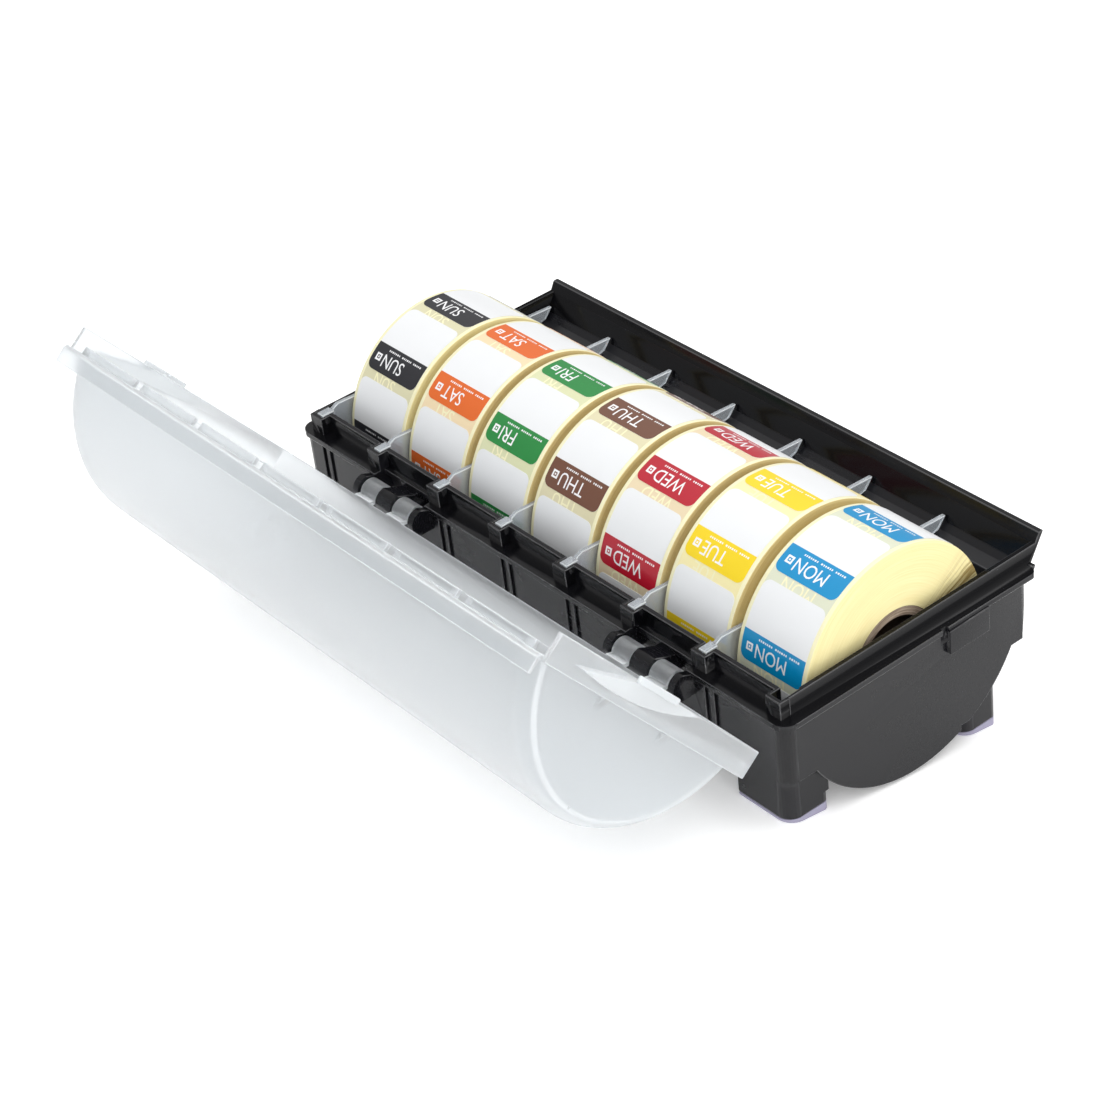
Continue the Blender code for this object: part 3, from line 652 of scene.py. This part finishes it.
def rounded_box(x0, x1, y0, y1, radius, corners=(True, True, True, True)):
    """Corners in order: lower right, upper right, upper left, lower left."""
    points = []
    data = ((x1, y0, -1, 1, 270), (x1, y1, -1, -1, 0), (x0, y1, 1, -1, 90), (x0, y0, 1, 1, 180))
    for (x, y, sx, sy, start), is_round in zip(data, corners):
        if is_round:
            points += arc(x + sx * radius, y + sy * radius, radius, start, start + 90, 6)
        else:
            points.append((x, y))
    return points


def name_shape(word, slot):
    """A day name as flat faces, right-aligned, in capitals."""
    curve = bpy.data.curves.new("work_text", "FONT")
    curve.body = word
    curve.size = 1.0
    curve.resolution_u = 3
    curve.fill_mode = "BOTH"
    obj = bpy.data.objects.new("work_text", curve)
    bpy.context.scene.collection.objects.link(obj)
    depsgraph = bpy.context.evaluated_depsgraph_get()
    mesh = bpy.data.meshes.new_from_object(obj.evaluated_get(depsgraph))
    bm = bmesh.new()
    bm.from_mesh(mesh)
    bpy.data.objects.remove(obj)
    bpy.data.curves.remove(curve)
    bpy.data.meshes.remove(mesh)
    bmesh.ops.remove_doubles(bm, verts=bm.verts, dist=1e-4)
    low = min(v.co.y for v in bm.verts)
    high = max(v.co.y for v in bm.verts)
    far = max(v.co.x for v in bm.verts)
    scale = NAME_CAP / (high - low)
    for vert in bm.verts:
        vert.co.x = NAME_RIGHT + (vert.co.x - far) * scale * NAME_SQUEEZE
        vert.co.y = NAME_BASE + (vert.co.y - low) * scale
        vert.co.z = 0.0
    for face in bm.faces:
        face.material_index = slot
    return bm


def wrap(target, flat, radius, thickness, phase, strip=1.6 * MM):
    """Slice a flat shape into strips, give it a thickness and lay it round the roll."""
    bm = flat.copy()
    low = min(v.co.y for v in bm.verts)
    high = max(v.co.y for v in bm.verts)
    count = int((high - low) / strip)
    for i in range(1, count + 1):
        cut = low + (high - low) * i / (count + 1)
        geom = list(bm.verts) + list(bm.edges) + list(bm.faces)
        bmesh.ops.bisect_plane(bm, geom=geom, plane_co=(0, cut, 0), plane_no=(0, 1, 0), dist=1e-7)
    bmesh.ops.recalc_face_normals(bm, faces=bm.faces)
    for face in bm.faces:
        if face.normal.z < 0:
            face.normal_flip()
    made = bmesh.ops.extrude_face_region(bm, geom=list(bm.faces))
    for item in made["geom"]:
        if isinstance(item, bmesh.types.BMVert):
            item.co.z = thickness
    for vert in bm.verts:
        a = phase + vert.co.y / radius
        r = radius - thickness + vert.co.z
        vert.co = Vector((vert.co.x, -r * math.cos(a), r * math.sin(a)))
    mesh = bpy.data.meshes.new("work_wrap")
    bm.to_mesh(mesh)
    target.from_mesh(mesh)
    bpy.data.meshes.remove(mesh)
    bm.free()


def plain_box(x0, x1, y0, y1):
    return [(x0, y0), (x1, y0), (x1, y1), (x0, y1)]


def tiny_line():
    """A row of small plain dashes where the label carries its small print."""
    outlines = []
    low, high = DASH_LEVELS
    x = DASH_START
    for word, dashes in enumerate((5, 6, 7)):
        for k in range(dashes):
            width = DASH_WIDTHS[(k + word) % 3]
            outlines.append(plain_box(x, x + width, low, high))
            x += width + DASH_GAP
        x += WORD_GAP
    return outlines


def square_icon():
    """A plain square frame with a small block inside, as strips so that nothing has a hole."""
    x0, x1, y0, y1 = ICON
    low, high = y0 + ICON_RIM, y1 - ICON_RIM
    return [plain_box(x0, x1, y0, low), plain_box(x0, x1, high, y1),
            plain_box(x0, x0 + ICON_RIM, low, high), plain_box(x1 - ICON_RIM, x1, low, high),
            plain_box(x0 + ICON_INSET, x1 - ICON_INSET, y0 + ICON_INSET, y1 - ICON_INSET)]


def make_labels(day, place, origin, stock, ghost, backing, header, ink):
    """White labels, the printed headers on them, and the print of the turn below showing through."""
    half = 0.5 * LABEL_WIDTH
    body = flat_shape([rounded_box(-half, half, -LABEL_FOOT, HEADER, LABEL_CORNER)], 0)
    head_outline = rounded_box(-half, half, 0.0, HEADER, LABEL_CORNER, (False, True, True, False))
    head = flat_shape([head_outline], 0)
    under = flat_shape([head_outline], 1)
    name = name_shape(day.upper(), 1)
    ghost_name = name_shape(day.upper(), 2)
    marks = flat_shape(tiny_line() + square_icon(), 1)
    labels, prints = bmesh.new(), bmesh.new()
    for k in range(LABELS_ROUND):
        phase = math.radians(PHASES[day]) + k * LABEL_STEP
        wrap(labels, body, LABEL_R, 0.10 * MM, phase)
        wrap(labels, under, WEB_R + 0.03 * MM, 0.05 * MM, phase + GHOST_LAG)
        wrap(labels, ghost_name, WEB_R + 0.05 * MM, 0.04 * MM, phase + GHOST_LAG)
        for shape, radius in ((head, PRINT_R), (name, INK_R), (marks, INK_R)):
            wrap(prints, shape, radius, 0.025 * MM, phase)
    for piece_name, bm, mats, slot in (
            (f"roll_labels_{day}", labels, (stock, ghost, backing), "label_stock"),
            (f"roll_print_{day}", prints, (header, ink), f"label_{day}")):
        piece = object_of(piece_name, bm, mats, place, origin)
        shade(piece, 35)
        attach(piece, f"roll_{day}")
    for shape in (body, head, under, name, ghost_name, marks):
        shape.free()


def make_rolls():
    # The two end rolls show a bright side; the sides between rolls get a deeper cream, painted shade for
    # the shade that falls between rolls.
    open_side = wound_paper("wound_side", (0.89, 0.80, 0.44), (0.80, 0.68, 0.30), (0.30, 0.20, 0.05))
    painted_shade_side = wound_paper("wound_side_painted_shade", (0.74, 0.61, 0.30), (0.60, 0.46, 0.19), (0.36, 0.25, 0.07))
    backing = printed_paper("backing_paper", BACKING_COLOUR, 0.38)
    stock = printed_paper("label_white", (0.74, 0.75, 0.76), 0.34)
    ink = printed_paper("label_ink_white", (0.80, 0.80, 0.81), 0.34)
    tube = card("core_card", (0.50, 0.40, 0.30), (0.20, 0.14, 0.10))
    for index, day in enumerate(DAYS):
        origin = Vector(JOINTS[f"roll_{day}_spin"]["pos_m"])
        place = frame_matrix(origin, -TILT)
        header = printed_paper(f"print_{day}", DAY_COLOURS[day], 0.30)
        faint = tuple(0.78 * a + 0.22 * b for a, b in zip(BACKING_COLOUR, DAY_COLOURS[day]))
        ghost = printed_paper(f"ghost_{day}", faint, 0.38)
        side = open_side if day in (DAYS[0], DAYS[-1]) else painted_shade_side
        web = make_web(day, index, place, origin, side, backing)
        core = make_core(day, place, origin, tube)
        for piece, node, slot in ((web, f"label_web_{day}", "label_backing"),
                                  (core, f"roll_core_{day}", "core_card")):
            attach(piece, f"roll_{day}")
            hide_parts(node)
        make_labels(day, place, origin, stock, ghost, backing, header, ink)


# --- stage ----------------------------------------------------------------------------------
def make_floor():
    """A pale floor that glows a little, so that shadows stay light."""
    mat, tree, shader = start_material("floor_pale", (0.86, 0.86, 0.86))
    place = object_place(tree)
    tone = noise(tree, place, 3.0, 2.0)
    feed(tree, shader.inputs["Base Color"], mixed(tree, tone, (0.93, 0.93, 0.93), (0.95, 0.95, 0.95)))
    shader.inputs["Roughness"].default_value = 0.7
    shader.inputs["Emission Color"].default_value = (1.0, 1.0, 1.0, 1.0)
    shader.inputs["Emission Strength"].default_value = 0.22
    bm = bmesh.new()
    bmesh.ops.create_grid(bm, x_segments=2, y_segments=2, size=6.0)
    floor = object_of("floor", bm, (mat,), Matrix.Translation((0, 0, -0.0002)))


def add_area(name, place, target, size, power):
    light = bpy.data.lights.new(name, "AREA")
    light.shape = "RECTANGLE"
    light.size, light.size_y = size
    light.energy = power
    obj = bpy.data.objects.new(name, light)
    bpy.context.scene.collection.objects.link(obj)
    obj.location = place
    obj.rotation_mode = "QUATERNION"
    obj.rotation_quaternion = (Vector(target) - Vector(place)).to_track_quat("-Z", "Y")


def make_lights():
    """A pale tent that is brighter overhead, with three soft boxes."""
    world = bpy.data.worlds.new("studio")
    bpy.context.scene.world = world
    world.use_nodes = True
    tree = world.node_tree
    ways = add_node(tree, "ShaderNodeTexCoord").outputs["Generated"]
    up = add_node(tree, "ShaderNodeSeparateXYZ", {0: ways})
    back = tree.nodes["Background"]
    back.inputs["Color"].default_value = (1.0, 1.0, 1.0, 1.0)
    feed(tree, back.inputs["Strength"], ranged(tree, up.outputs["Z"], 0.35, 0.85, 0.50, 1.15))
    bpy.context.scene.view_settings.view_transform = "Standard"
    add_area("overhead", (-0.1, -0.35, 1.3), (0, 0, 0.05), (1.4, 0.8), 5.0)
    add_area("behind_camera", (-0.9, 1.0, 1.5), (0, 0, 0.05), (1.2, 1.2), 13.0)
    add_area("beside", (-1.3, 0.1, 0.6), (0, 0, 0.05), (0.7, 0.7), 2.5)


def make_camera():
    """Looks from behind the hinge, over the right end."""
    data = bpy.data.cameras.new("camera")
    data.sensor_width = 36.0
    data.lens = 97.96
    data.clip_start, data.clip_end = 0.05, 20.0
    camera = bpy.data.objects.new("camera", data)
    bpy.context.scene.collection.objects.link(camera)
    camera.location = (-0.6158, 0.5023, 0.5059)
    camera.rotation_mode = "QUATERNION"
    camera.rotation_quaternion = Vector((0.66781, -0.54757, -0.50419)).to_track_quat("-Z", "Y")
    bpy.context.scene.camera = camera


def main():
    black = black_plastic("tray_plastic", (0.0055, 0.0055, 0.0075), 0.05, 0.27)
    # The softened edges of the tray get a lighter, glossier black: a painted highlight along each edge.
    black_edge_painted_highlight = black_plastic("tray_edge_painted_highlight", (0.035, 0.035, 0.038), 0.02, 0.60)
    black_gloss = black_plastic("tray_gloss", (0.003, 0.003, 0.004), -0.06, 0.20)
    make_tray((black, black_edge_painted_highlight, black_gloss))
    make_soles(rubber("sole_rubber", (0.36, 0.34, 0.46)))
    clear = clear_plastic("divider_plastic", (0.80, 0.85, 0.90), 0.72, 0.12)
    # The softened edges of the dividers get a paler, less clear finish: a painted highlight along each
    # edge.
    clear_edge_painted_highlight = clear_plastic("divider_edge_painted_highlight", (0.90, 0.94, 0.97), 0.50, 0.20)
    make_dividers((clear, clear_edge_painted_highlight))
    frosted = frosted_plastic("lid_plastic", (0.93, 0.96, 0.98), (0.97, 0.98, 0.99), 0.94, 0.16, 0.32)
    # The softened edges of the lid and its barrel corners get a less see-through finish that looks whiter:
    # a painted highlight. The finger pads take it too.
    frosted_edge_painted_highlight = frosted_plastic("lid_edge_painted_highlight", (0.86, 0.89, 0.91), (0.94, 0.96, 0.97), 0.40, 0.30, 0.30)
    make_lid((frosted, frosted_edge_painted_highlight))
    make_rolls()
    make_floor()
    make_lights()
    make_camera()


main()
